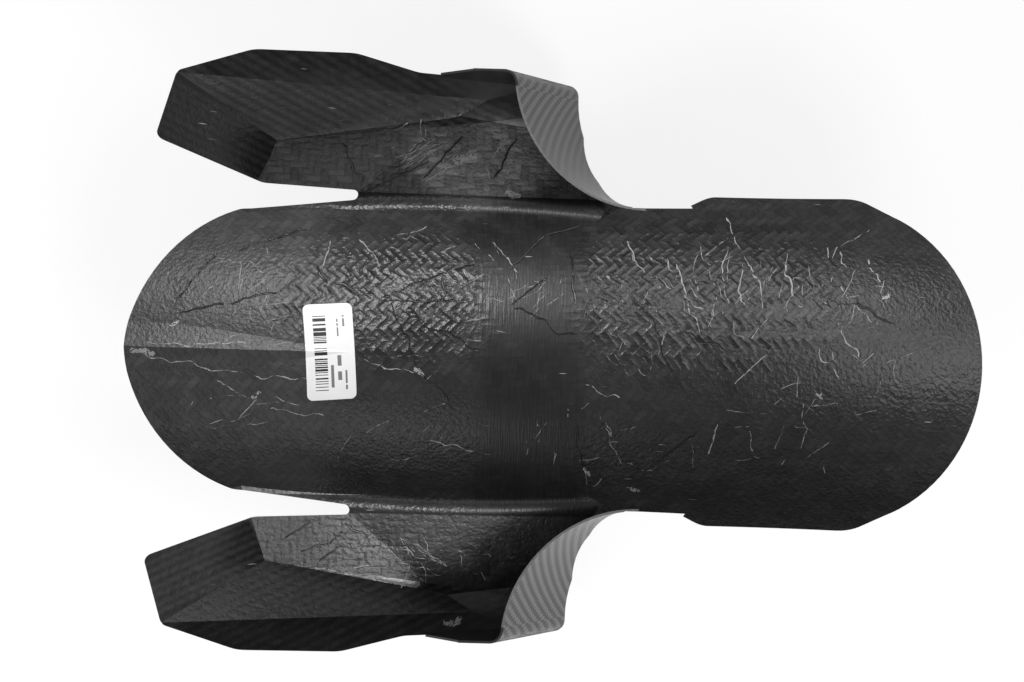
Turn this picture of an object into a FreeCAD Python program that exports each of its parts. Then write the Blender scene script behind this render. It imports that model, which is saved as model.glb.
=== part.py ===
import FreeCAD, Part
import math
import os
import Sketcher
from FreeCAD import Vector

# Laminate, and the channel over the tyre. Lengths are millimetres, leans in degrees, slopes rise over run.
wall = 1.2
crown_radius = 322
section_radius = 82
flank_lean = 56
channel_side = 100
channel_sweep = 116
hub_radius = 120
keel_height = 3.2
keel_length = 130
keel_slope = 0.33
keel_side = 20

# Plan outline, measured from the plane of the wheel axle: reaches run forward from it or rearward to the tail.
nose_reach = 193
nose_radius = 83.5
nose_shoulder_reach = 134
nose_shoulder_side = 69.4
slot_end_reach = 81
slot_inner_side = 76.4
slot_outer_side = 82
slot_end_round = 0.52
slot_mouth_reach = 126
slot_mouth_side = 83.4
tip_inner_reach = 172
tip_inner_side = 100
tip_outer_reach = 165
tip_outer_side = 133.6
wing_front_reach = 128
wing_front_side = 145
wing_rear_reach = 80
wing_rear_side = 147.4
arm_side = 142
arm_front_reach = 50
waist_side = 76
waist_reach = 85
lip_front_reach = 96
lip_side = 81
lip_rear_reach = 163
lip_rear_side = 79
tail_reach = 227.5
tail_radius = 77
tail_corner_side = 71
tip_corner_radius = 4
edge_blend_radius = 14
long_blend_radius = 28

# Facets of the fork shields beside the channel.
shield_side = 81
shield_height = 50
shield_start_reach = 79
crest_slope = 1.5
arm_slope = 0.594
arm_rake = 0.085
arm_floor = 20
inner_slope = 0.42
inner_rake = 0.25
knee_reach = 121
knee_side = 106
front_slope = 0.19
front_rake = 1.1
outer_slope = 0.8
outer_rake = 0.49
rim_side = 133
rim_slope = 1.6
behind_reach = 52
behind_slope = 0.5
behind_rake = 1.2
crest_radius = 5

# Fork leg notch and the collar wall that stands around it.
notch_radius = 58
notch_reach = 58
notch_side = 134
notch_lean = 32
notch_level = 70
notch_corner_radius = 6
collar_waist_height = 58
collar_slope = 0.2
collar_front_reach = 22
collar_front_slope = 1.05

# Paper label on the channel floor.
label_length = 50
label_width = 25
label_thickness = 0.15
adhesive_thickness = 0.2
label_corner = 3
label_reach = 94
label_turn = 4.6

# How far cutting tools pass beyond what they cut.
margin = 20

driving = dict(
    wall=wall, crown_radius=crown_radius, section_radius=section_radius, flank_lean=flank_lean,
    channel_side=channel_side, channel_sweep=channel_sweep, hub_radius=hub_radius,
    keel_height=keel_height, keel_length=keel_length, keel_slope=keel_slope, keel_side=keel_side,
    nose_reach=nose_reach, nose_radius=nose_radius,
    nose_shoulder_reach=nose_shoulder_reach, nose_shoulder_side=nose_shoulder_side,
    slot_end_reach=slot_end_reach, slot_inner_side=slot_inner_side, slot_outer_side=slot_outer_side,
    slot_end_round=slot_end_round, slot_mouth_reach=slot_mouth_reach, slot_mouth_side=slot_mouth_side,
    tip_inner_reach=tip_inner_reach, tip_inner_side=tip_inner_side,
    tip_outer_reach=tip_outer_reach, tip_outer_side=tip_outer_side,
    wing_front_reach=wing_front_reach, wing_front_side=wing_front_side,
    wing_rear_reach=wing_rear_reach, wing_rear_side=wing_rear_side,
    arm_side=arm_side, arm_front_reach=arm_front_reach,
    waist_side=waist_side, waist_reach=waist_reach,
    lip_front_reach=lip_front_reach, lip_side=lip_side,
    lip_rear_reach=lip_rear_reach, lip_rear_side=lip_rear_side,
    tail_reach=tail_reach, tail_radius=tail_radius, tail_corner_side=tail_corner_side,
    tip_corner_radius=tip_corner_radius, edge_blend_radius=edge_blend_radius,
    long_blend_radius=long_blend_radius,
    shield_side=shield_side, shield_height=shield_height, shield_start_reach=shield_start_reach,
    crest_slope=crest_slope, arm_slope=arm_slope, arm_rake=arm_rake, arm_floor=arm_floor,
    inner_slope=inner_slope, inner_rake=inner_rake, knee_reach=knee_reach, knee_side=knee_side,
    front_slope=front_slope, front_rake=front_rake, outer_slope=outer_slope, outer_rake=outer_rake,
    rim_side=rim_side, rim_slope=rim_slope,
    behind_reach=behind_reach, behind_slope=behind_slope, behind_rake=behind_rake,
    crest_radius=crest_radius,
    notch_radius=notch_radius, notch_reach=notch_reach, notch_side=notch_side,
    notch_lean=notch_lean, notch_level=notch_level, notch_corner_radius=notch_corner_radius,
    collar_waist_height=collar_waist_height, collar_slope=collar_slope,
    collar_front_reach=collar_front_reach, collar_front_slope=collar_front_slope,
    label_length=label_length, label_width=label_width, label_thickness=label_thickness,
    adhesive_thickness=adhesive_thickness,
    label_corner=label_corner, label_reach=label_reach, label_turn=label_turn, margin=margin,
)

doc = FreeCAD.newDocument("front_mudguard")
sheet = doc.addObject("Spreadsheet::Sheet", "Sizes")
for row, (name, value) in enumerate(driving.items(), start=1):
    sheet.set("A%d" % row, name)
    sheet.set("B%d" % row, str(value))
    sheet.setAlias("B%d" % row, name)
doc.recompute()


class Cell:
    """A number together with the sheet expression that gives it."""

    def __init__(self, text, value):
        self.text = text
        self.value = float(value)

    def joined(self, sign, other, value):
        return Cell("(%s %s %s)" % (self.text, sign, as_cell(other).text), value)

    def __add__(self, other):
        return self.joined("+", other, self.value + as_cell(other).value)

    def __sub__(self, other):
        return self.joined("-", other, self.value - as_cell(other).value)

    def __mul__(self, other):
        return self.joined("*", other, self.value * as_cell(other).value)

    def __truediv__(self, other):
        return self.joined("/", other, self.value / as_cell(other).value)

    def __neg__(self):
        return Cell("(-%s)" % self.text, -self.value)


def as_cell(number):
    return number if isinstance(number, Cell) else Cell(repr(number), number)


def root(cell):
    return Cell("sqrt(%s)" % cell.text, math.sqrt(cell.value))


def sine(cell):
    return Cell("sin(%s)" % cell.text, math.sin(math.radians(cell.value)))


def cosine(cell):
    return Cell("cos(%s)" % cell.text, math.cos(math.radians(cell.value)))


class Sizes:
    """Every driving size as a cell, under its own name."""


dim = Sizes()
for name, value in driving.items():
    setattr(dim, name, Cell("Sizes." + name, value))

zero = as_cell(0)
one = as_cell(1)
half_turn = Cell("(180 / pi)", 180 / math.pi)
axle_x = (dim.nose_reach - dim.tail_reach) / 2
axle_z = dim.crown_radius + dim.wall

flat = FreeCAD.Rotation()
upright = FreeCAD.Rotation(Vector(1, 0, 0), 90)
crosswise = FreeCAD.Rotation(Vector(1, 1, 1), 120)


def bound_sketch(name, turn, station, level, corners, arcs):
    """Closed sketch at a station along the part, its corners and arc radii bound to the sheet.
    An arc is numbered by the corner it starts from, and bulges to the left (1) or right (-1) of its travel."""
    sketch = doc.addObject("Sketcher::SketchObject", name)
    sketch.Placement = FreeCAD.Placement(Vector(station.value, 0, level.value), turn)
    sketch.setExpression("Placement.Base.x", station.text)
    sketch.setExpression("Placement.Base.z", level.text)
    count = len(corners)
    corners = [(as_cell(across), as_cell(up)) for across, up in corners]
    places = [Vector(across.value, up.value, 0) for across, up in corners]
    ends = []
    for i in range(count):
        start = places[i]
        end = places[(i + 1) % count]
        if i not in arcs:
            ends.append((1, 2))
            sketch.addGeometry(Part.LineSegment(start, end), False)
            continue
        radius, bulge = arcs[i]
        chord = end - start
        left = Vector(-chord.y, chord.x, 0).normalize()
        rise = math.sqrt(max(radius.value ** 2 - (chord.Length / 2) ** 2, 0.0))
        centre = (start + end) * 0.5 - left * rise * bulge
        low = math.atan2(start.y - centre.y, start.x - centre.x)
        high = math.atan2(end.y - centre.y, end.x - centre.x)
        ends.append((1, 2))
        if bulge > 0:
            low, high = high, low
            ends[i] = (2, 1)
        if high < low:
            high = high + 2 * math.pi
        circle = Part.Circle(centre, Vector(0, 0, 1), radius.value)
        sketch.addGeometry(Part.ArcOfCircle(circle, low, high), False)
    for i in range(count):
        follower = (i + 1) % count
        joint = Sketcher.Constraint("Coincident", i, ends[i][1], follower, ends[follower][0])
        sketch.addConstraint(joint)
    for i in range(count):
        for kind, cell in zip(("DistanceX", "DistanceY"), corners[i]):
            index = sketch.addConstraint(Sketcher.Constraint(kind, -1, 1, i, ends[i][0], cell.value))
            sketch.setExpression("Constraints[%d]" % index, cell.text)
    for i, (radius, bulge) in arcs.items():
        index = sketch.addConstraint(Sketcher.Constraint("Radius", i, radius.value))
        sketch.setExpression("Constraints[%d]" % index, radius.text)
    return sketch


def extruded(name, sketch, direction, forward, backward):
    solid = doc.addObject("Part::Extrusion", name)
    solid.Base = sketch
    solid.DirMode = "Custom"
    solid.Dir = Vector(*[as_cell(part).value for part in direction])
    for axis, part in zip("xyz", direction):
        solid.setExpression("Dir." + axis, as_cell(part).text)
    solid.Solid = True
    solid.setExpression("LengthFwd", as_cell(forward).text)
    solid.setExpression("LengthRev", as_cell(backward).text)
    return solid


def revolved(name, sketch, centre_x, centre_z, sweep):
    solid = doc.addObject("Part::Revolution", name)
    solid.Source = sketch
    solid.Axis = Vector(0, 1, 0)
    solid.Solid = True
    solid.Symmetric = True
    solid.setExpression("Base.x", centre_x.text)
    solid.setExpression("Base.z", centre_z.text)
    solid.setExpression("Angle", sweep.text)
    return solid


def box(name, low, high):
    solid = doc.addObject("Part::Box", name)
    for axis, start in zip("xyz", low):
        solid.setExpression("Placement.Base." + axis, as_cell(start).text)
    for side, start, end in zip(("Length", "Width", "Height"), low, high):
        solid.setExpression(side, (as_cell(end) - start).text)
    return solid


def mirrored(name, source):
    twin = doc.addObject("Part::Mirroring", name)
    twin.Source = source
    twin.Normal = Vector(0, 1, 0)
    return twin


def cut(name, base, tool):
    result = doc.addObject("Part::Cut", name)
    result.Base = base
    result.Tool = tool
    return result


def fused(name, pieces):
    result = doc.addObject("Part::MultiFuse", name)
    result.Shapes = pieces
    return result


def common(name, base, tool):
    result = doc.addObject("Part::Common", name)
    result.Base = base
    result.Tool = tool
    return result


def filleted(name, base, radii):
    """Rounds the numbered edges of a finished feature."""
    result = doc.addObject("Part::Fillet", name)
    result.Base = base
    result.Edges = [(number, radius, radius) for number, radius in radii]
    return result


def lies_on(edge, shape):
    """Whether an edge's middle lies on the skin of another shape."""
    middle = edge.valueAt((edge.FirstParameter + edge.LastParameter) / 2)
    return Part.Vertex(middle).distToShape(Part.Compound(shape.Faces))[0] < 1e-4


def channel_air(name, off):
    """The space inside the channel: a round section and leaning flanks swept about the axle, with the nose's keel.
    Off moves the skin outwards."""
    radius = dim.section_radius + off
    crown = dim.wall - off
    bend_side = radius * sine(dim.flank_lean)
    bend = crown + radius * (one - cosine(dim.flank_lean))
    rise = sine(dim.flank_lean) / cosine(dim.flank_lean)
    rim = bend + (dim.channel_side - bend_side) * rise
    top = axle_z - dim.hub_radius
    section = bound_sketch(name + "_section", crosswise, axle_x, zero, [
        (-bend_side, bend), (bend_side, bend), (dim.channel_side, rim),
        (dim.channel_side, top), (-dim.channel_side, top), (-dim.channel_side, rim),
    ], {0: (radius, -1)})
    trough = revolved(name + "_trough", section, axle_x, axle_z, dim.channel_sweep)

    # The keel's arc is centred nearer the nose, so the ridge runs out into the crown behind it.
    shift = dim.keel_height / (one - cosine(dim.keel_length / dim.crown_radius * half_turn))
    nose_sine = dim.nose_reach / dim.crown_radius
    centre_x = axle_x - shift * nose_sine
    centre_z = axle_z - shift * root(one - nose_sine * nose_sine)
    reach = dim.crown_radius + dim.keel_height - shift + off * root(one + dim.keel_slope * dim.keel_slope)
    apex = centre_z - reach
    foot = apex + dim.keel_side * dim.keel_slope
    keel_section = bound_sketch(name + "_keel_section", crosswise, centre_x, zero, [
        (0, apex), (dim.keel_side, foot), (dim.keel_side, foot + dim.margin),
        (-dim.keel_side, foot + dim.margin), (-dim.keel_side, foot),
    ], {})
    keel = revolved(name + "_keel", keel_section, centre_x, centre_z, dim.channel_sweep)
    return fused(name, [trough, keel])


def shield_forms(name, off):
    """One fork shield: the open space above its arm, and the ground under its other flat facets."""
    far = dim.wing_rear_side + dim.margin
    deep = -dim.crown_radius
    start = axle_x - dim.shield_start_reach
    knee = axle_x - dim.knee_reach
    knee_height = dim.shield_height + dim.inner_rake * (dim.knee_reach - dim.shield_start_reach)
    knee_height = knee_height - dim.inner_slope * (dim.knee_side - dim.shield_side)

    def drop(rake, slope):
        return off * root(one + rake * rake + slope * slope)

    def ground(facet, station, rake, line):
        sketch = bound_sketch(name + "_" + facet, crosswise, station, zero, line + [(far, deep), (0, deep)], {})
        length = dim.crown_radius * 2
        return extruded(name + "_" + facet + "_ground", sketch, (1, 0, rake), length, length)

    def flat_facet(facet, station, rake, slope, side, height):
        level = height - drop(rake, slope)
        ends = [(zero, level - slope * side), (far, level + slope * (far - side))]
        return ground(facet, station, rake, ends)

    crest_drop = drop(dim.arm_rake, dim.crest_slope)
    arm_drop = drop(dim.arm_rake, dim.arm_slope)
    fold = dim.shield_side - (crest_drop - arm_drop) / (dim.crest_slope - dim.arm_slope)
    arm_level = dim.shield_height - arm_drop
    fold_height = arm_level + dim.arm_slope * (dim.shield_side - fold)
    arm = ground("arm", start, -dim.arm_rake, [
        (zero, fold_height + dim.crest_slope * fold), (fold, fold_height),
        (far, arm_level - dim.arm_slope * (far - dim.shield_side)),
    ])
    outer_drop = drop(dim.outer_rake, dim.outer_slope)
    rim_drop = drop(dim.outer_rake, dim.rim_slope)
    bend = dim.rim_side + (rim_drop - outer_drop) / (dim.rim_slope - dim.outer_slope)
    outer_level = knee_height - outer_drop
    bend_height = outer_level + dim.outer_slope * (bend - dim.knee_side)
    outer = ground("outer", knee, -dim.outer_rake, [
        (zero, outer_level - dim.outer_slope * dim.knee_side), (bend, bend_height),
        (far, bend_height + dim.rim_slope * (far - bend)),
    ])
    inner = flat_facet("inner", start, -dim.inner_rake, -dim.inner_slope, dim.shield_side, dim.shield_height)
    front = flat_facet("front", knee, -dim.front_rake, -dim.front_slope, dim.knee_side, knee_height)
    behind = flat_facet("behind", axle_x + dim.behind_reach, dim.behind_rake, -dim.behind_slope,
                        dim.shield_side, dim.shield_height)
    low = (axle_x - dim.nose_reach - dim.margin, dim.shield_side - dim.margin, dim.arm_floor - off)
    high = (axle_x + dim.waist_reach + dim.margin, far, axle_z)
    block = box(name + "_block", low, high)
    above_arm = cut(name + "_above_arm", block, arm)
    return block, above_arm, fused(name + "_ground", [outer, inner, front, behind])


def inside_air(name, off):
    """All the space inside the moulding. The crest between channel and arms is rounded before the facets are cut."""
    channel = channel_air(name + "_channel", off)
    block, above_arm, ground = shield_forms(name + "_shield", off)
    twin = mirrored(name + "_above_arm_twin", above_arm)
    whole = fused(name + "_sharp", [channel, above_arm, twin])
    doc.recompute()
    stock = block.Shape
    crests = []
    for side, limits in ((above_arm, stock), (twin, stock.mirror(Vector(), Vector(0, 1, 0)))):
        for number, edge in enumerate(whole.Shape.Edges, start=1):
            if lies_on(edge, channel.Shape) and lies_on(edge, side.Shape) and not lies_on(edge, limits):
                crests.append((number, crest_radius - off.value))
    ridged = filleted(name + "_ridged", whole, crests)
    lone = cut(name + "_facets", ground, channel)
    return cut(name, ridged, fused(name + "_all_facets", [lone, mirrored(name + "_facets_twin", lone)]))


outer_air = inside_air("outer_air", dim.wall)
inner_air = inside_air("inner_air", zero)
moulding = cut("moulding", outer_air, inner_air)

# Half of the trimmed outline seen from above, from the nose round to the tail.
tail_corner = dim.tail_reach - dim.tail_radius
tail_corner = tail_corner + root(dim.tail_radius * dim.tail_radius - dim.tail_corner_side * dim.tail_corner_side)
outline = bound_sketch("outline", flat, axle_x, zero, [
    (dim.tail_reach, 0),
    (-dim.nose_reach, 0),
    (-dim.nose_shoulder_reach, dim.nose_shoulder_side),
    (-dim.slot_end_reach, dim.slot_inner_side),
    (-dim.slot_end_reach, dim.slot_outer_side),
    (-dim.slot_mouth_reach, dim.slot_mouth_side),
    (-dim.tip_inner_reach, dim.tip_inner_side),
    (-dim.tip_outer_reach, dim.tip_outer_side),
    (-dim.wing_front_reach, dim.wing_front_side),
    (-dim.wing_rear_reach, dim.wing_rear_side),
    (-dim.arm_front_reach, dim.arm_side),
    (dim.notch_reach + dim.wall, dim.arm_side),
    (dim.notch_reach + dim.wall, dim.waist_side),
    (dim.waist_reach, dim.waist_side),
    (dim.lip_front_reach, dim.lip_side),
    (dim.lip_rear_reach, dim.lip_rear_side),
    (tail_corner, dim.tail_corner_side),
], {
    1: (dim.nose_radius, 1),
    3: (dim.slot_end_round * (dim.slot_outer_side - dim.slot_inner_side), -1),
    16: (dim.tail_radius, 1),
})
blank_half = extruded("blank_half", outline, (0, 0, 1), dim.crown_radius, dim.margin)
doc.recompute()


def upright_edges(shape, along, side):
    """Numbers of the vertical edges at one corner of the outline."""
    corner = Vector(along + axle_x.value, side, 0)
    found = []
    for number, edge in enumerate(shape.Edges, start=1):
        spots = [Vector(vertex.X, vertex.Y, 0) for vertex in edge.Vertexes]
        if all(spot.distanceToPoint(corner) < 1e-3 for spot in spots):
            found.append(number)
    return found


corner_radii = [
    (-nose_shoulder_reach, nose_shoulder_side, edge_blend_radius),
    (-slot_mouth_reach, slot_mouth_side, edge_blend_radius),
    (-tip_inner_reach, tip_inner_side, tip_corner_radius),
    (-tip_outer_reach, tip_outer_side, tip_corner_radius),
    (-wing_front_reach, wing_front_side, long_blend_radius),
    (-wing_rear_reach, wing_rear_side, long_blend_radius),
    (-arm_front_reach, arm_side, long_blend_radius),
    (waist_reach, waist_side, edge_blend_radius),
    (lip_front_reach, lip_side, edge_blend_radius),
    (lip_rear_reach, lip_rear_side, long_blend_radius),
]
corners_rounded = []
for along, side, radius in corner_radii:
    for number in upright_edges(blank_half.Shape, along, side):
        corners_rounded.append((number, radius))
blank_round = filleted("blank_round", blank_half, corners_rounded)
blank = fused("blank", [blank_round, mirrored("blank_twin", blank_round)])

# The notch that clears the fork leg: a leaning cylinder with a rounded outer corner.
along_leg = (-sine(dim.notch_lean), 0, cosine(dim.notch_lean))
notch_front = dim.notch_reach - dim.notch_radius
notch_inner = dim.notch_side - dim.notch_radius
corner_start = dim.arm_side - dim.notch_corner_radius
corner_end = notch_front - dim.notch_corner_radius
notch_profile = bound_sketch("notch_profile", flat, axle_x, dim.notch_level, [
    (dim.notch_reach, notch_inner),
    (notch_front, dim.notch_side),
    (notch_front, corner_start),
    (corner_end, dim.arm_side),
    (corner_end, dim.arm_side + dim.margin),
    (dim.waist_reach, dim.arm_side + dim.margin),
    (dim.waist_reach, notch_inner),
], {0: (dim.notch_radius, 1), 2: (dim.notch_corner_radius, -1)})
notch = extruded("notch", notch_profile, along_leg, dim.notch_level, dim.notch_level * 1.4)
notches = fused("notches", [notch, mirrored("notch_twin", notch)])

# The collar wall inside the notch, up to its sloping free edge.
collar_profile = bound_sketch("collar_profile", flat, axle_x, dim.notch_level, [
    (dim.notch_reach, notch_inner - dim.wall),
    (notch_front - dim.wall, dim.notch_side),
    (notch_front - dim.wall, corner_start),
    (corner_end, dim.arm_side - dim.wall),
    (-dim.arm_front_reach, dim.arm_side - dim.wall),
    (-dim.arm_front_reach, dim.arm_side + dim.wall),
    (notch_front + dim.wall, dim.arm_side + dim.wall),
    (notch_front + dim.wall, dim.notch_side),
    (dim.notch_reach, notch_inner + dim.wall),
], {
    0: (dim.notch_radius + dim.wall, 1),
    2: (dim.notch_corner_radius - dim.wall, -1),
    7: (dim.notch_radius - dim.wall, -1),
})
collar_blank = extruded("collar_blank", collar_profile, along_leg, dim.notch_level / 2, dim.notch_level * 1.2)
trim_inner = dim.waist_side - dim.margin
trim_outer = dim.arm_side + dim.margin
trim_top = dim.notch_level * 3
collar_edge = bound_sketch("collar_edge", crosswise, axle_x, zero, [
    (trim_inner, dim.collar_waist_height - dim.margin * dim.collar_slope),
    (trim_outer, dim.collar_waist_height + (trim_outer - dim.waist_side) * dim.collar_slope),
    (trim_outer, trim_top),
    (trim_inner, trim_top),
], {})
edge_trim = extruded("edge_trim", collar_edge, (1, 0, 0), dim.crown_radius, dim.crown_radius)
collar_front = bound_sketch("collar_front", upright, axle_x, zero, [
    (-dim.collar_front_reach, dim.notch_level),
    (-dim.collar_front_reach, trim_top),
    (-dim.nose_reach, trim_top),
    (-dim.nose_reach, dim.notch_level - (dim.nose_reach - dim.collar_front_reach) * dim.collar_front_slope),
], {})
front_trim = extruded("front_trim", collar_front, (0, 1, 0), dim.crown_radius, 0)
collar_wall = common("collar_wall", collar_blank, outer_air)
collar = cut("collar", collar_wall, fused("collar_trims", [edge_trim, front_trim]))
joined = fused("joined", [moulding, collar, mirrored("collar_twin", collar)])
shell = common("mudguard_shell", cut("notched", joined, notches), blank)
shell.Label = "mudguard_shell"

# The label: a rounded paper rectangle that lies over its adhesive on the inside of the channel.
paper_back = channel_air("paper_back", -dim.adhesive_thickness)
paper_front = channel_air("paper_front", -dim.adhesive_thickness - dim.label_thickness)
paper = cut("paper", paper_back, paper_front)
half_width = dim.label_width / 2
half_length = dim.label_length / 2
label_outline = bound_sketch("label_outline", flat, axle_x - dim.label_reach, zero, [
    (-half_width, -half_length), (half_width, -half_length), (half_width, half_length), (-half_width, half_length),
], {})
label_outline.Placement.Rotation = FreeCAD.Rotation(Vector(0, 0, 1), label_turn)
label_blank = extruded("label_blank", label_outline, (0, 0, 1), dim.notch_level, dim.margin)
doc.recompute()
label_corners = []
for number, edge in enumerate(label_blank.Shape.Edges, start=1):
    if edge.BoundBox.ZLength > notch_level:
        label_corners.append((number, label_corner))
label = common("label", paper, filleted("label_round", label_blank, label_corners))
label.Label = "label"

doc.recompute()
for thing in doc.Objects:
    if "Invalid" in thing.State or "Error" in thing.State:
        raise SystemExit("failed: " + thing.Name + " " + str(thing.State))
os.makedirs("parts", exist_ok=True)
for node in (shell, label):
    if node.Shape.isNull() or not node.Shape.isValid():
        raise SystemExit("not a valid shape: " + node.Label)
    node.Shape.exportStep("parts/" + node.Label + ".step")
    print(node.Label, "solids", len(node.Shape.Solids), "volume", round(node.Shape.Volume, 1))
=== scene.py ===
import math
import random

import bpy
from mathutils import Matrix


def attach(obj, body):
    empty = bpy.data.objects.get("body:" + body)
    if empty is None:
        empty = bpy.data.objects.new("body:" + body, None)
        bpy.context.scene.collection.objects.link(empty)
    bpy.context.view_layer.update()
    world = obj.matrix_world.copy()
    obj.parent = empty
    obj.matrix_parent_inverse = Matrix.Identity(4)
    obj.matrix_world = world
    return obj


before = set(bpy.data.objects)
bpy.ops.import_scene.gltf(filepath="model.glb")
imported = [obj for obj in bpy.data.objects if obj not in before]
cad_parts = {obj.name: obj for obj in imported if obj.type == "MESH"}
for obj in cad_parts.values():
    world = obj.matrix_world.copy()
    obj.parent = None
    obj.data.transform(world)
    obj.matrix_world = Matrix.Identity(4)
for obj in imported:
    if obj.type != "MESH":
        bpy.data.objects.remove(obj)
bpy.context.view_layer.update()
print("frame loaded:", sorted(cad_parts))


class Wire:
    # one output socket of a node; sums on it add Math nodes

    def __init__(self, tree, socket):
        self.tree = tree
        self.socket = socket

    def add(self, kind, settings=None, inputs=None, output=0):
        node = self.tree.nodes.new(kind)
        for key, value in (settings or {}).items():
            setattr(node, key, value)
        for key, value in (inputs or {}).items():
            if isinstance(value, Wire):
                self.tree.links.new(value.socket, node.inputs[key])
            else:
                node.inputs[key].default_value = value
        return Wire(self.tree, node.outputs[output])

    def math(self, operation, *others):
        values = {0: self}
        for slot, other in enumerate(others):
            values[slot + 1] = other
        return self.add("ShaderNodeMath", {"operation": operation}, values)

    def __add__(self, other):
        return self.math("ADD", other)

    __radd__ = __add__

    def __sub__(self, other):
        return self.math("SUBTRACT", other)

    def __rsub__(self, other):
        return self.add("ShaderNodeMath", {"operation": "SUBTRACT"}, {0: other, 1: self})

    def __mul__(self, other):
        return self.math("MULTIPLY", other)

    __rmul__ = __mul__

    def __truediv__(self, other):
        return self.math("DIVIDE", other)

    def __pow__(self, other):
        return self.math("POWER", other)

    def __abs__(self):
        return self.math("ABSOLUTE")

    def __lt__(self, other):
        return self.math("LESS_THAN", other)

    def __gt__(self, other):
        return self.math("GREATER_THAN", other)

    def floor(self):
        return self.math("FLOOR")

    def fract(self):
        return self.math("FRACT")

    def sine(self):
        return self.math("SINE")

    def limited(self, low=0.0, high=1.0):
        return self.add("ShaderNodeClamp", {}, {"Value": self, "Min": low, "Max": high})

    def step(self, low, high):
        # eases from 0 at low to 1 at high
        return self.add("ShaderNodeMapRange", {"interpolation_type": "SMOOTHSTEP"}, {
            "Value": self, "From Min": low, "From Max": high})

    def pick(self, without, within):
        # self chooses between two numbers: 0 gives the first, 1 the second
        return self.add("ShaderNodeMix", {"data_type": "FLOAT"}, {0: self, 2: without, 3: within})

    def tint(self, without, within):
        # the same choice between two colours
        return self.add("ShaderNodeMix", {"data_type": "RGBA"}, {0: self, 6: without, 7: within}, 2)

    def parts(self):
        node = self.tree.nodes.new("ShaderNodeSeparateXYZ")
        self.tree.links.new(self.socket, node.inputs[0])
        return [Wire(self.tree, output) for output in node.outputs]

    def vector(self, x, y, z):
        return self.add("ShaderNodeCombineXYZ", {}, {0: x, 1: y, 2: z})

    def noise(self, scale, detail=2.0, rough=0.5):
        # self is the place; gives a value from 0 to 1
        return self.add("ShaderNodeTexNoise", {}, {
            "Vector": self, "Scale": scale, "Detail": detail, "Roughness": rough})


def grey(level):
    return (level, level, level, 1.0)


def newMaterial(name):
    material = bpy.data.materials.new(name)
    material.use_nodes = True
    tree = material.node_tree
    shader = tree.nodes["Principled BSDF"]
    place = tree.nodes.new("ShaderNodeTexCoord")
    return material, shader, Wire(tree, place.outputs["Object"])


def plug(shader, name, value):
    if isinstance(value, Wire):
        value.tree.links.new(value.socket, shader.inputs[name])
    else:
        shader.inputs[name].default_value = value


def relief(wire, height, metres, normal=None):
    # heights of 0 to 1 stand that many metres proud
    inputs = {"Height": height, "Distance": metres, "Strength": 1.0}
    if normal:
        inputs["Normal"] = normal
    return wire.add("ShaderNodeBump", {}, inputs)


# carbon laminate, metres in the frame's own axes

laminate = {
    "axlePlane": -0.01725,      # x of the plane through the axle
    "crownRadius": 0.322,
    "sectionRadius": 0.082,
    "flankSine": 0.829,         # where the channel's flank runs straight
    "flankStretch": 1.79,
    "channelSide": 0.081,
    "wingStretch": 1.15,
}


# fork leg notch: its axis at one level, and its lean

notch = {
    "x": 0.04075,
    "side": 0.134,
    "level": 0.070,
    "radius": 0.058,
    "wall": 0.0012,
    "lean": math.radians(32),
    "slack": 0.002,             # how far past the axis the collar still counts
    "heelSide": 0.1405,         # upright wall at the arm's outer end
    "heelFront": -0.080,
}


def flatPlace(place):
    # lays the curved channel out flat: along the crown and across it
    x, y, z = place.parts()
    lam = laminate
    ahead = ((x - lam["axlePlane"]) / lam["crownRadius"]).math("ARCSINE") * lam["crownRadius"]
    side = abs(y)
    bend = lam["flankSine"] * lam["sectionRadius"]
    arcTurn = (side / lam["sectionRadius"]).limited(0.0, lam["flankSine"]).math("ARCSINE")
    flank = (side - bend).limited(0.0, lam["channelSide"] - bend) * lam["flankStretch"]
    wing = (side - lam["channelSide"]).math("MAXIMUM", 0.0) * lam["wingStretch"]
    out = arcTurn * lam["sectionRadius"] + flank + wing
    return x, y, side, ahead, out


def twill(along, across, cosine, sine, tow):
    # two over, two under; gives the cloth's height, where the first tows lie on top,
    # a chance for every float and how far it lies askew
    a = (along * cosine + across * sine) / tow
    b = (across * cosine - along * sine) / tow
    i = a.floor()
    j = b.floor()
    phase = (i + j).math("FLOORED_MODULO", 4.0)
    onTop = phase < 2.0
    crossFirst = b.fract() * 2.0 - 1.0
    crossSecond = a.fract() * 2.0 - 1.0
    runFirst = (a + j).math("FLOORED_MODULO", 4.0) * (math.pi / 2)
    runSecond = ((b + i).math("FLOORED_MODULO", 4.0) - 2.0) * (math.pi / 2)
    first = (1.0 - crossFirst * crossFirst) * (0.4 + 0.6 * runFirst.sine())
    second = (1.0 - crossSecond * crossSecond) * (0.4 + 0.6 * runSecond.sine())
    row = onTop.pick(i, j)
    run = onTop.pick(((b + i) / 4.0).floor() + 0.5, ((a + j) / 4.0).floor())
    number = a.vector(row, run, 0.0)
    chance = a.add("ShaderNodeTexWhiteNoise", {"noise_dimensions": "2D"}, {"Vector": number})
    lean = onTop.pick(crossSecond, crossFirst) * (chance - 0.5)
    return onTop.pick(second, first), onTop, chance, lean


def strokes(place, turn, scale, stretch, width, share):
    # short straight scratches: thin cells of which only a share shows
    turned = place.add("ShaderNodeMapping", {"vector_type": "POINT"}, {
        "Vector": place, "Rotation": (0.0, 0.0, turn), "Scale": (scale / stretch, scale, scale * 0.4)})
    near = place.add("ShaderNodeTexVoronoi", {"feature": "F1"}, {"Vector": turned, "Scale": 1.0})
    mark = Wire(place.tree, near.socket.node.outputs["Color"])
    return (1.0 - near.step(width * 0.4, width)) * (mark.parts()[0] < share)


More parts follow.
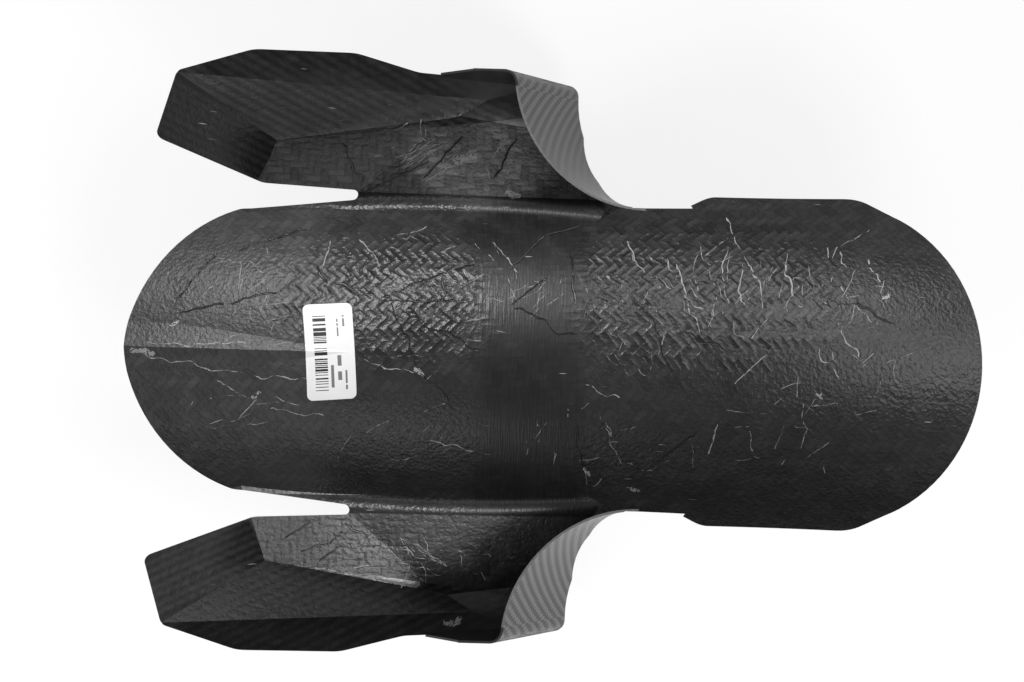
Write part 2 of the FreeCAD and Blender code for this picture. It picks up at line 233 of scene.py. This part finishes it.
def anyStroke(flat, kinds):
    found = strokes(flat, *kinds[0])
    for kind in kinds[1:]:
        found = found.math("MAXIMUM", strokes(flat, *kind))
    return found


def spotShare(x, y, spot, ease):
    # 1 in the middle of an oval spot, 0 well outside it
    centreX, centreY, long, wide = spot
    far = ((x - centreX) / long) ** 2.0 + ((y - centreY) / wide) ** 2.0
    return 1.0 - far.step(*ease)


# the inside, as the bag left it

bagSide = {
    "tow": 0.0040,
    "towRelief": 0.00042,
    "towLean": 0.9,             # floats that lie askew
    "slowWander": 0.006,        # tows never lie straight
    "fastWander": 0.0028,
    "outerTurn": math.radians(15),
    "patchStart": -0.0369,      # ply laid square to the crown
    "patchEnd": 0.022,
    "patchFray": 3.0,
    "patchFadeOut": 0.010,
    "patchFadeIn": 0.014,
    "kneeX": -0.138,            # corner of the fork shield's inner facet
    "kneeSide": 0.106,
    "valleySlope": 0.148,
    "facetLean": 0.39,          # its edge towards the tip
    "facetGap": 0.009,
    "bareSpots": (              # x, y, half length, half width
        (-0.080, 0.030, 0.060, 0.036), (0.075, 0.034, 0.070, 0.040)),
    "bareEase": (0.4, 1.7),
    "resinEase": (0.34, 0.54),
    # painted light: an oval on the upper arm drawn lighter in colour, and how strongly
    "upperArmLightSpot": (-0.034, 0.102, 0.036, 0.026),
    "upperArmLightEase": (0.3, 1.5),
    "upperArmLightShare": 3.5,
    "armFade": (-0.075, -0.045),
    "noseFade": (-0.135, -0.095),
    "heelFade": (-0.062, -0.050),
    "heelSideFade": (0.130, 0.136),
    "bandPitch": 0.0046,        # plies that show through on the outer facets
    "bandAhead": 0.42,
    "bandAcross": 0.91,
    "foldStrokes": (            # turn, scale, stretch, width, share
        (0.35, 120.0, 10.0, 0.05, 0.30), (2.2, 150.0, 9.0, 0.06, 0.25),
        (-0.8, 170.0, 8.0, 0.06, 0.25), (1.5, 140.0, 12.0, 0.05, 0.30)),
    # how much darker the fold strokes are drawn, as painted shade in their creases
    "foldPaintedShade": 0.6,
    "scuffStrokes": (
        (0.5, 260.0, 9.0, 0.08, 0.22), (1.9, 240.0, 8.0, 0.08, 0.20),
        (-0.7, 300.0, 10.0, 0.09, 0.22), (1.35, 220.0, 12.0, 0.07, 0.25)),
    "scuffEase": (0.45, 0.62),
    "scuffGrey": 0.34,
    "crumpleRelief": 0.00045,
    "towGrey": 0.022,
    "gapGrey": 0.014,
}


def insideLaminate():
    bag = bagSide
    material, shader, place = newMaterial("carbon bag side")
    x, y, side, ahead, out = flatPlace(place)
    sign = y.math("SIGN")
    slow = (place.noise(9.0, 1.0) - 0.5) * bag["slowWander"]
    fast = (place.noise(80.0, 1.0) - 0.5) * bag["fastWander"]
    wander = slow + fast

    # where each ply lies
    inWing = side > laminate["channelSide"]
    valley = bag["kneeSide"] + (x - bag["kneeX"]) * bag["valleySlope"]
    facetFront = (side - laminate["channelSide"]) * bag["facetLean"] + (bag["kneeX"] - bag["facetGap"])
    innerFacet = (side < valley) * (x > facetFront)
    smooth = inWing * (1.0 - innerFacet)
    start, end = bag["patchStart"], bag["patchEnd"]
    patch = (x > start) * (x < end + wander * bag["patchFray"]) * (1.0 - inWing)
    begun = x.step(start - bag["patchFadeOut"], start + bag["patchFadeIn"])
    ended = x.step(end - bag["patchFadeIn"], end + bag["patchFadeOut"])
    softPatch = begun * (1.0 - inWing) * (1.0 - ended)
    arm = inWing * x.step(*bag["armFade"])
    nose = 1.0 - x.step(*bag["noseFade"])
    heel = x.step(*bag["heelFade"]) * side.step(*bag["heelSideFade"])
    lower = y < 0.0

    # the cloth: at 45 degrees in the channel, square on the patch and inner facets, askew further out
    square = (patch + inWing * innerFacet).limited()
    half = math.sqrt(0.5)
    cosine = square.pick(inWing.pick(half, math.cos(bag["outerTurn"])), 1.0)
    sine = square.pick(inWing.pick(half, math.sin(bag["outerTurn"])), 0.0)
    across = inWing.pick(out * sign, out)
    cloth, onTop, chance, lean = twill(ahead + wander, across + wander, cosine, sine, bag["tow"])

    # the bag leaves it bare in two places and buries it in resin towards the nose, rims and tips
    bare = 0.0
    for spot in bag["bareSpots"]:
        bare = spotShare(x, y, spot, bag["bareEase"]).math("MAXIMUM", bare)
    resin = place.noise(65.0, 3.0, 0.6).step(*bag["resinEase"])
    bare = (bare * (0.25 + 0.75 * resin) + 0.3 * (place.noise(22.0, 2.0) - 0.5)).limited(0.08, 1.0)
    # painted light: an oval on the upper arm only, drawn up to four and a half times lighter for the light
    # that falls there
    upperArmLight = spotShare(x, y, bag["upperArmLightSpot"], bag["upperArmLightEase"])
    clothShare = inWing.pick(bare * (1.0 - 0.8 * softPatch), innerFacet.pick(0.04, 0.4 - 0.15 * arm))
    # painted light and shade: the shields' inner facets are drawn lighter than their outer facets, the
    # lower shield's inner facet darker and its outer facets lighter than the upper shield's, and the
    # heel's upright wall darker, all for how light falls on them
    wingPaintedLight = innerFacet.pick(0.5 - 0.3 * heel + 0.3 * lower, 1.4 - 0.7 * lower)
    # painted light and shade in the channel: the nose drawn lighter and the patch laid square drawn
    # darker, standing in for how light falls on them and for the patch's weaker sheen; then the lit oval
    # on the upper arm
    depth = inWing.pick(1.0 - 0.5 * softPatch + 0.8 * nose, wingPaintedLight) * (1.0 + bag["upperArmLightShare"] * upperArmLight)
    floatToneAndSheen = 0.35 + 0.65 * clothShare
    bandPlace = ahead * bag["bandAhead"] + across * bag["bandAcross"]
    bands = (bandPlace * (2 * math.pi / bag["bandPitch"])).sine()

    # fine marks
    flat = place.vector(ahead, out * sign, 0.0)
    foldMarks = anyStroke(flat, bag["foldStrokes"])
    scuffMarks = anyStroke(flat, bag["scuffStrokes"]) * place.noise(26.0, 2.0).step(*bag["scuffEase"])
    fibre = place.noise(900.0, 2.0)
    combed = place.add("ShaderNodeMapping", {}, {"Vector": flat, "Scale": (1.0, 0.06, 1.0)})
    streak = combed.noise(1100.0, 2.0)
    dirt = place.noise(55.0, 4.0, 0.6)
    crumple = place.noise(520.0, 1.5, 0.55) + 0.4 * place.noise(160.0, 1.0)

    tone = bag["gapGrey"] + (bag["towGrey"] - bag["gapGrey"]) * cloth.math("MAXIMUM", 0.0) ** 0.5
    tone = tone * softPatch.pick(0.7 + 0.6 * fibre, 0.3 + 1.4 * streak) * (0.5 + 1.0 * dirt)
    # painted sheen: floats on top drawn lighter than those under them, more so where the cloth lies bare;
    # then a random tone for each float, and the painted light and shade from above
    tone = tone * (1.0 + 0.15 * floatToneAndSheen * (2.0 * onTop - 1.0)) * (1.0 + floatToneAndSheen * (chance - 0.5)) * depth
    # painted shade: the fold strokes drawn darker, standing in for the shade in their creases
    tone = tone * (1.0 - bag["foldPaintedShade"] * foldMarks) * (1.0 + 0.3 * smooth * bands)
    plug(shader, "Base Color", scuffMarks.tint(tone.vector(tone, tone, tone), grey(bag["scuffGrey"])))
    clothRough = 0.24 + 0.2 * dirt + 0.05 * softPatch + 0.10 * nose + 0.10 * inWing
    smoothRough = 0.16 + 0.05 * dirt + 0.012 * bands + 0.3 * heel
    plug(shader, "Roughness", smooth.pick(clothRough, smoothRough) + 0.14 * scuffMarks)
    bump = relief(place, cloth + bag["towLean"] * lean, bag["towRelief"] * clothShare)
    grain = (0.4 * streak * softPatch + crumple * (1.0 - 0.9 * softPatch)) * (1.0 - 0.85 * smooth)
    plug(shader, "Normal", relief(place, grain, bag["crumpleRelief"], bump))
    return material


# the outside, smooth from the mould

mouldSide = {
    "tow": 0.0017,
    "towRelief": 0.00004,
    "turn": math.radians(15),
    "collarTurn": math.radians(97),
    "grey": 0.058,
    # painted sheen: tows running one way drawn lighter than those running the other
    "towPaintedSheen": (0.35, 1.65),     # tows running one way and the other
    "roughs": (0.34, 0.42),
    "coat": 0.15,
    "coatRough": 0.16,
}


def outsideLaminate():
    mould = mouldSide
    material, shader, place = newMaterial("carbon mould side")
    x, y, side, ahead, out = flatPlace(place)
    z = place.parts()[2]
    leg = x - notch["x"] + (z - notch["level"]) * math.tan(notch["lean"])
    away = (leg * leg + (side - notch["side"]) * (side - notch["side"])) ** 0.5
    collar = (away < notch["radius"] + notch["wall"]) * (leg < notch["slack"])
    around = (side - notch["side"]).math("ARCTAN2", leg) * notch["radius"]
    along = collar.pick(ahead, around)
    upright = side > notch["heelSide"]
    across = collar.pick(upright.pick(out, z), z / math.cos(notch["lean"]))
    cosine = collar.pick(math.cos(mould["turn"]), math.cos(mould["collarTurn"]))
    sine = collar.pick(math.sin(mould["turn"]), math.sin(mould["collarTurn"]))
    cloth, onTop = twill(along, across, cosine, sine, mould["tow"])[:2]
    fibre = place.noise(1400.0, 1.0)
    # painted sheen: the tows of one direction drawn much lighter than those of the other
    tone = mould["grey"] * onTop.pick(*mould["towPaintedSheen"]) * (0.85 + 0.3 * fibre) * (0.8 + 0.2 * cloth)
    plug(shader, "Base Color", tone.vector(tone, tone, tone))
    plug(shader, "Roughness", onTop.pick(*mould["roughs"]))
    plug(shader, "Coat Weight", mould["coat"])
    plug(shader, "Coat Roughness", mould["coatRough"])
    plug(shader, "Normal", relief(place, cloth, mould["towRelief"]))
    return material


# the cut edge, where the plies show

cutSide = {
    "plies": 700.0,
    "grey": 0.05,
    "greySpread": 0.10,
    "blue": 1.02,
    "rough": 0.45,
    "roughSpread": 0.2,
    "relief": 0.0001,
}


def cutEdge():
    cut = cutSide
    material, shader, place = newMaterial("carbon cut edge")
    plies = place.noise(cut["plies"], 2.0)
    tone = cut["grey"] + cut["greySpread"] * plies
    plug(shader, "Base Color", tone.vector(tone, tone, tone * cut["blue"]))
    plug(shader, "Roughness", cut["rough"] + cut["roughSpread"] * plies)
    plug(shader, "Normal", relief(place, plies, cut["relief"]))
    return material


# the label: matt paper with plain bars, none of them a code

labelPrint = {
    "centreX": -0.11125,
    "turn": math.radians(4.6),
    "wide": 0.025,
    "long": 0.050,
    "barsFrom": 0.18, "barsTo": 0.44,
    "barsLow": 0.08, "barsHigh": 0.88,
    "barPitch": 0.00042,
    "lines": (          # across from, to; along from, to; dash length
        (0.50, 0.56, 0.10, 0.36, 0.0011),
        (0.64, 0.72, 0.10, 0.46, 0.0015),
        (0.79, 0.83, 0.10, 0.30, 0.0008),
        (0.66, 0.69, 0.66, 0.84, 0.0007),
        (0.78, 0.82, 0.76, 0.90, 0.0009)),
    "barShare": 0.5,
    "dashShare": 0.72,
    "dashInk": 0.8,
    "paper": 0.86,
    "ink": 0.02,
    "rough": 0.55,
    "relief": 0.0002,
}


def between(wire, low, high):
    return (wire > low) * (wire < high)


def labelPaper():
    lab = labelPrint
    material, shader, place = newMaterial("label paper")
    x, y, z = place.parts()
    cosine, sine = math.cos(lab["turn"]), math.sin(lab["turn"])
    across = ((x - lab["centreX"]) * cosine + y * sine) / lab["wide"] + 0.5
    run = y * cosine - (x - lab["centreX"]) * sine
    along = run / lab["long"] + 0.5
    bar = (run / lab["barPitch"]).floor()
    black = bar.add("ShaderNodeTexWhiteNoise", {"noise_dimensions": "1D"}, {"W": bar}) < lab["barShare"]
    ink = black * between(across, lab["barsFrom"], lab["barsTo"])
    ink = ink * between(along, lab["barsLow"], lab["barsHigh"])
    for left, right, low, high, dash in lab["lines"]:
        spot = (run / dash).floor()
        chance = spot.add("ShaderNodeTexWhiteNoise", {"noise_dimensions": "1D"}, {"W": spot + left})
        dashed = (chance < lab["dashShare"]) * lab["dashInk"]
        ink = ink + dashed * between(across, left, right) * between(along, low, high)
    tone = lab["paper"] - (lab["paper"] - lab["ink"]) * ink.limited()
    tone = tone * (0.95 + 0.08 * place.noise(120.0, 3.0))
    plug(shader, "Base Color", tone.vector(tone, tone, tone))
    plug(shader, "Roughness", lab["rough"])
    plug(shader, "Normal", relief(place, place.noise(90.0, 2.0), lab["relief"]))
    return material


# which side of the laminate a face is on

faceSort = {
    "notchSlack": 0.0005,
    "collarDown": -0.6,         # a collar face looks no further down than this
    "collarOuter": (-0.3, 0.15),    # depths in the collar's wall, as shares of it
    "collarCut": 0.85,
    "wallAhead": 0.6,           # the collar's flat end wall looks back
    "wallDown": -0.3,
    "wallSlack": 0.001,
    "heelUpright": 0.9,
    "heelSlack": 0.0015,
    "cutLevel": 0.05,           # a face nearer to upright than this is a cut edge
}


def sideOf(centre, normal):
    # 0 inside, 1 outside, 2 cut edge
    sort = faceSort
    axisX = notch["x"] - (centre.z - notch["level"]) * math.tan(notch["lean"])
    out = abs(centre.y) - notch["side"]
    away = math.hypot(centre.x - axisX, out)
    if out < sort["notchSlack"] and centre.x < axisX + notch["slack"] and normal.z > sort["collarDown"]:
        depth = (away - notch["radius"]) / notch["wall"]
        nearest, deepest = sort["collarOuter"]
        if nearest < depth < deepest:
            return 1
        if deepest <= depth < sort["collarCut"]:
            return 2
    if out > -sort["wallSlack"] and normal.x > sort["wallAhead"] and normal.z > sort["wallDown"]:
        return 1
    onHeel = abs(centre.y) > notch["heelSide"] - sort["heelSlack"] and centre.x > notch["heelFront"]
    if onHeel and abs(normal.y) > sort["heelUpright"]:
        return 0 if normal.y * centre.y < 0 else 1
    if normal.z > sort["cutLevel"]:
        return 0
    if normal.z < -sort["cutLevel"]:
        return 1
    return 2


def dressShell():
    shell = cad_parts["mudguard_shell"]
    shell.data.materials.clear()
    for material in (insideLaminate(), outsideLaminate(), cutEdge()):
        shell.data.materials.append(material)
    for face in shell.data.polygons:
        face.material_index = sideOf(face.center, face.normal)
    print("shell dressed:", len(shell.data.polygons), "faces")


def dressLabel():
    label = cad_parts["label"]
    label.data.materials.clear()
    label.data.materials.append(labelPaper())
    print("label dressed")


dressShell()
dressLabel()


# what the bag left on the inside: folds of resin, and pale scuffs and flecks

folds = {
    "seed": 7,
    # painted shade: a darker grey for the fold strips
    "grey": 0.012,
    "rough": 0.22,
    "wide": 0.0010,
    "tall": 0.0005,
    "lines": (          # plan places in millimetres, each fold a run of points
        ((-123, 48), (-112, 36), (-86, 28), (-41, 28)), ((-86, 29), (-48, 45), (-36, 46)),
        ((-81, 27), (-65, -9), (-43, -29)), ((-76, 23), (-33, 2)), ((-16, 27), (18, 11)),
        ((-17, 28), (1, 42)), ((-19, 45), (-2, 62), (17, 67)), ((12, 57), (16, 27)),
        ((-54, 44), (-53, 29), (-62, 24)), ((25, 32), (19, 19)), ((45, 33), (61, 12), (67, -8)),
        ((70, 16), (95, 7)), ((20, -32), (20, -59)), ((-129, -95), (-114, -85)),
        ((-122, -102), (-106, -97), (-99, -90)), ((-99, -86), (-83, -99)), ((-112, -107), (-99, -97)),
        ((-94, 80), (-61, 99)), ((-45, 113), (-64, 89)), ((-29, 90), (-16, 114)), ((-105, 108), (-94, 84)),
        ((-187, 19), (-179, 34), (-166, 48)), ((-155, 51), (-138, 56), (-119, 62)),
        ((-187, 16), (-163, 23), (-137, 30), (-124, 40)), ((148, 33), (174, 20)), ((82, -35), (55, -56))),
}

scuffLines = {
    "grey": 0.12,
    "greySpread": 0.3,
    "rough": 0.5,
    "wide": 0.0009,
    "ragged": 0.6,
    "thin": 0.00055,
    "thinRagged": 1.0,
    "thinGrain": 0.0015,
    "sideSpread": 0.7,          # a cluster is longer than wide
    "halfLength": (0.0012, 0.009),
    "armReach": (-0.095, -0.02, 0.090, 0.122),      # front, back, near side, far side
    "channelReach": 0.180,
    "channelSide": 0.064,
    "tall": 0.00016,
    "lines": (
        ((-208, -3), (-152, -14), (-122, -16)), ((-143, -29), (-111, -34)), ((-157, -38), (-144, -22)),
        ((-97, -3), (-65, -10)), ((88, 74), (99, 56), (114, 26)), ((119, 56), (126, 31)),
        ((66, 52), (74, 32), (82, 14)), ((92, 60), (90, 44), (94, 28)), ((100, 44), (101, 27)),
        ((-110, 58), (-116, 42)), ((-168, 46), (-140, 40)), ((-96, 62), (-84, 44)), ((-30, 60), (-12, 44)),
        ((40, 62), (52, 44)),
        ((138, 10), (150, -8)), ((20, -14), (42, -22)), ((150, 20), (158, 2)), ((-60, -44), (-32, -50)),
        ((157, 53), (165, 41)), ((97, -13), (115, 5)), ((85, -49), (92, -30)), ((-205, 2), (-150, 3))),
    "seed": 41,
    "clusters": (       # plan place and spread in millimetres, heading and sway in degrees, count
        (78, 42, 16, 100, 25, 28), (104, 34, 14, 75, 25, 22), (60, 8, 14, 120, 30, 14),
        (126, -28, 18, 60, 35, 14), (-12, 36, 16, 20, 35, 22), (18, -46, 14, 90, 30, 14),
        (-150, 24, 18, 60, 35, 20), (-160, -26, 16, 20, 35, 14), (-60, 46, 18, 150, 35, 22),
        (150, 38, 16, 120, 30, 20), (168, 0, 14, 80, 35, 12), (70, -52, 20, 40, 35, 14),
        (-70, -38, 24, 30, 35, 12), (-45, 104, 18, 60, 35, 34), (-50, -104, 18, 120, 35, 24),
        (-60, 102, 9, 34, 9, 44), (-62, -106, 9, -30, 12, 20)),
}

flecks = {
    "grain": 0.0005,
    "ragged": 0.8,
    "places": (         # plan place and size in millimetres, turn in degrees
        (-42, 102, 13, 9, 20), (-19, 82, 9, 6, -30), (-202, -3, 14, 4, -8), (-65, -9, 8, 4, -40),
        (-146, -22, 4, 3, 50), (-44, -137, 12, 4, 5), (-187, 12, 5, 3, 30), (24, -58, 7, 4, -20),
        (168, 34, 5, 3, 40), (140, -16, 5, 4, 80), (47, -66, 9, 4, 10)),
}


resinStrip = {
    "layAt": 0.2,               # level at which a strip is laid before it drops
    "grain": 0.0011,
    "endTaper": 8.0,
    "waverSize": 0.011,         # no line runs straight
    "waver": 0.007,
    "sunk": 0.00012,
    "thick": 0.0004,
}


def layStrip(chance, start, end, wide, ragged, grain=resinStrip["grain"]):
    # a flat strip over the part; its weights say how far each point will stand proud
    dx, dy = end[0] - start[0], end[1] - start[1]
    length = math.hypot(dx, dy)
    bpy.ops.object.select_all(action="DESELECT")
    bpy.ops.mesh.primitive_grid_add(
        x_subdivisions=max(4, int(length / grain)), y_subdivisions=max(4, int(wide / grain)), size=1.0,
        location=((start[0] + end[0]) / 2, (start[1] + end[1]) / 2, resinStrip["layAt"]),
        rotation=(0.0, 0.0, math.atan2(dy, dx)))
    strip = bpy.context.object
    proud = strip.vertex_groups.new(name="proud")
    for point in strip.data.vertices:
        across = 1.0 - (2.0 * point.co.y) ** 2
        ends = min(1.0, (0.5 - abs(point.co.x)) * resinStrip["endTaper"])
        weight = across * ends * (chance.random() ** ragged if ragged else 1.0)
        proud.add([point.index], max(weight, 0.0), "REPLACE")
    strip.scale = (length, wide, 1.0)
    bpy.ops.object.transform_apply(location=True, rotation=True, scale=True)
    return strip


def settle(strips, name, tall, material):
    # joins the strips, drops them on to the laminate and lifts their middles
    bpy.ops.object.select_all(action="DESELECT")
    for strip in strips:
        strip.select_set(True)
    bpy.context.view_layer.objects.active = strips[0]
    bpy.ops.object.join()
    piece = bpy.context.object
    piece.name = name
    clouds = bpy.data.textures.new(name + " waver", "CLOUDS")
    clouds.noise_scale = resinStrip["waverSize"]
    for axis in ("X", "Y"):
        waver = piece.modifiers.new("waver" + axis, "DISPLACE")
        waver.direction = axis
        waver.texture = clouds
        waver.mid_level = 0.5
        waver.strength = resinStrip["waver"]
    drop = piece.modifiers.new("drop", "SHRINKWRAP")
    drop.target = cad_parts["mudguard_shell"]
    drop.wrap_method = "PROJECT"
    drop.use_project_z = True
    drop.use_negative_direction = True
    drop.use_positive_direction = False
    sink = piece.modifiers.new("sink", "DISPLACE")
    sink.direction = "Z"
    sink.mid_level = 0.0
    sink.strength = -resinStrip["sunk"]
    lift = piece.modifiers.new("lift", "DISPLACE")
    lift.direction = "Z"
    lift.mid_level = 0.0
    lift.strength = tall + resinStrip["sunk"]
    lift.vertex_group = "proud"
    body = piece.modifiers.new("body", "SOLIDIFY")      # closed, with its foot inside the wall
    body.thickness = resinStrip["thick"]
    body.offset = -1.0
    for modifier in ("waverX", "waverY", "drop", "sink", "lift", "body"):
        bpy.ops.object.modifier_apply(modifier=modifier)
    bpy.ops.object.shade_smooth()
    bpy.ops.object.transform_apply(location=True, rotation=True, scale=True)
    piece.data.materials.append(material)
    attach(piece, "root")
    print(name, "laid:", len(piece.data.polygons), "faces")


def runs(lines):
    for line in lines:
        for start, end in zip(line, line[1:]):
            yield [value / 1000 for value in start], [value / 1000 for value in end]


def layFolds():
    chance = random.Random(folds["seed"])
    strips = [layStrip(chance, start, end, folds["wide"], 0) for start, end in runs(folds["lines"])]
    # painted shade: the fold strips get a darker colour than the laminate, standing in for the shade along
    # the creases
    material, shader, place = newMaterial("fold resin with painted shade")
    plug(shader, "Base Color", grey(folds["grey"]))
    plug(shader, "Roughness", folds["rough"])
    settle(strips, "bag_folds", folds["tall"], material)


def paleResin():
    material, shader, place = newMaterial("pale resin")
    tone = scuffLines["grey"] + scuffLines["greySpread"] * place.noise(500.0, 3.0)
    plug(shader, "Base Color", tone.vector(tone, tone, tone))
    plug(shader, "Roughness", scuffLines["rough"])
    return material


def endsOf(x, y, half, heading):
    dx, dy = half * math.cos(heading), half * math.sin(heading)
    return (x - dx, y - dy), (x + dx, y + dy)


def layScuffs():
    lines = scuffLines
    chance = random.Random(lines["seed"])
    strips = [
        layStrip(chance, start, end, lines["wide"], lines["ragged"])
        for start, end in runs(lines["lines"])]
    front, back, near, far = lines["armReach"]
    for x, y, spread, turn, sway, count in lines["clusters"]:
        for number in range(count):
            midX = chance.gauss(x, spread) / 1000
            midY = chance.gauss(y, spread * lines["sideSpread"]) / 1000
            heading = math.radians(chance.gauss(turn, sway))
            start, end = endsOf(midX, midY, chance.uniform(*lines["halfLength"]), heading)
            onArm = front < midX < back and near < abs(midY) < far
            inChannel = abs(midX) < lines["channelReach"] and abs(midY) < lines["channelSide"]
            if onArm or inChannel:
                strips.append(layStrip(
                    chance, start, end, lines["thin"], lines["thinRagged"], lines["thinGrain"]))
    for x, y, long, wide, turn in flecks["places"]:
        start, end = endsOf(x / 1000, y / 1000, long / 2000, math.radians(turn))
        strips.append(layStrip(chance, start, end, wide / 1000, flecks["ragged"], flecks["grain"]))
    settle(strips, "scuffs", lines["tall"], paleResin())


layFolds()
layScuffs()


# floor, light and camera

studio = {
    "floorSize": 24.0,
    "floorLevel": -0.0002,
    "floorGrey": 0.86,
    "floorRough": 0.8,
    "floorGlow": 0.85,          # share of the backdrop's own light in what is seen of the floor
    "backdrop": 1.0,
    "worldLight": 0.30,
    "lamps": (          # name, place, size, power
        ("key", (0.54, -0.96, 1.00), 0.60, 20.5),
        ("window", (-0.72, -0.95, 0.80), 0.80, 9.0),
        ("left panel", (-1.25, -0.05, 0.55), 0.80, 6.5),
        ("back panel", (0.36, 1.06, 0.70), 0.60, 1.8)),
}

camera = {
    "place": (-0.0190, -0.0042, 1.0493),
    "turn": (0.0119, -0.0027, 0.0269),
    "focalPixels": 1980.0,
    "frameWidth": 1024.0,
    "sensor": 36.0,
}


def layFloor():
    bpy.ops.object.select_all(action="DESELECT")
    bpy.ops.mesh.primitive_plane_add(size=studio["floorSize"], location=(0.0, 0.0, studio["floorLevel"]))
    floor = bpy.context.object
    floor.name = "floor"
    bpy.ops.object.transform_apply(location=True, rotation=True, scale=True)
    material, shader, place = newMaterial("pale table")
    plug(shader, "Base Color", grey(studio["floorGrey"]))
    plug(shader, "Roughness", studio["floorRough"])
    tree = material.node_tree
    path = tree.nodes.new("ShaderNodeLightPath")
    seen = Wire(tree, path.outputs["Is Camera Ray"])
    for ray in ("Is Glossy Ray", "Is Transmission Ray"):
        seen = seen.math("MAXIMUM", Wire(tree, path.outputs[ray]))
    glow = place.add("ShaderNodeEmission", {}, {"Color": grey(studio["backdrop"]), "Strength": 1.0})
    table = Wire(tree, shader.outputs[0])
    mixed = place.add("ShaderNodeMixShader", {}, {
        0: seen * studio["floorGlow"], 1: table, 2: glow})
    tree.links.new(mixed.socket, tree.nodes["Material Output"].inputs["Surface"])
    floor.data.materials.append(material)


def hangLight(name, place, size, power):
    lamp = bpy.data.lights.new(name, "AREA")
    lamp.size = size
    lamp.energy = power
    holder = bpy.data.objects.new(name, lamp)
    bpy.context.scene.collection.objects.link(holder)
    holder.location = place
    holder.rotation_euler = (-holder.location).to_track_quat("-Z", "Y").to_euler()


def lightStudio():
    world = bpy.data.worlds.new("studio")
    bpy.context.scene.world = world
    world.use_nodes = True
    world.node_tree.nodes["Background"].inputs["Color"].default_value = grey(1.0)
    world.node_tree.nodes["Background"].inputs["Strength"].default_value = studio["worldLight"]
    for lamp in studio["lamps"]:
        hangLight(*lamp)


def setCamera():
    lens = bpy.data.cameras.new("camera")
    lens.sensor_width = camera["sensor"]
    lens.lens = camera["focalPixels"] / camera["frameWidth"] * camera["sensor"]
    lens.clip_start = 0.01
    holder = bpy.data.objects.new("camera", lens)
    bpy.context.scene.collection.objects.link(holder)
    holder.location = camera["place"]
    holder.rotation_euler = camera["turn"]
    bpy.context.scene.camera = holder


layFloor()
lightStudio()
setCamera()
bpy.context.scene.view_settings.view_transform = "Standard"
print("studio set")
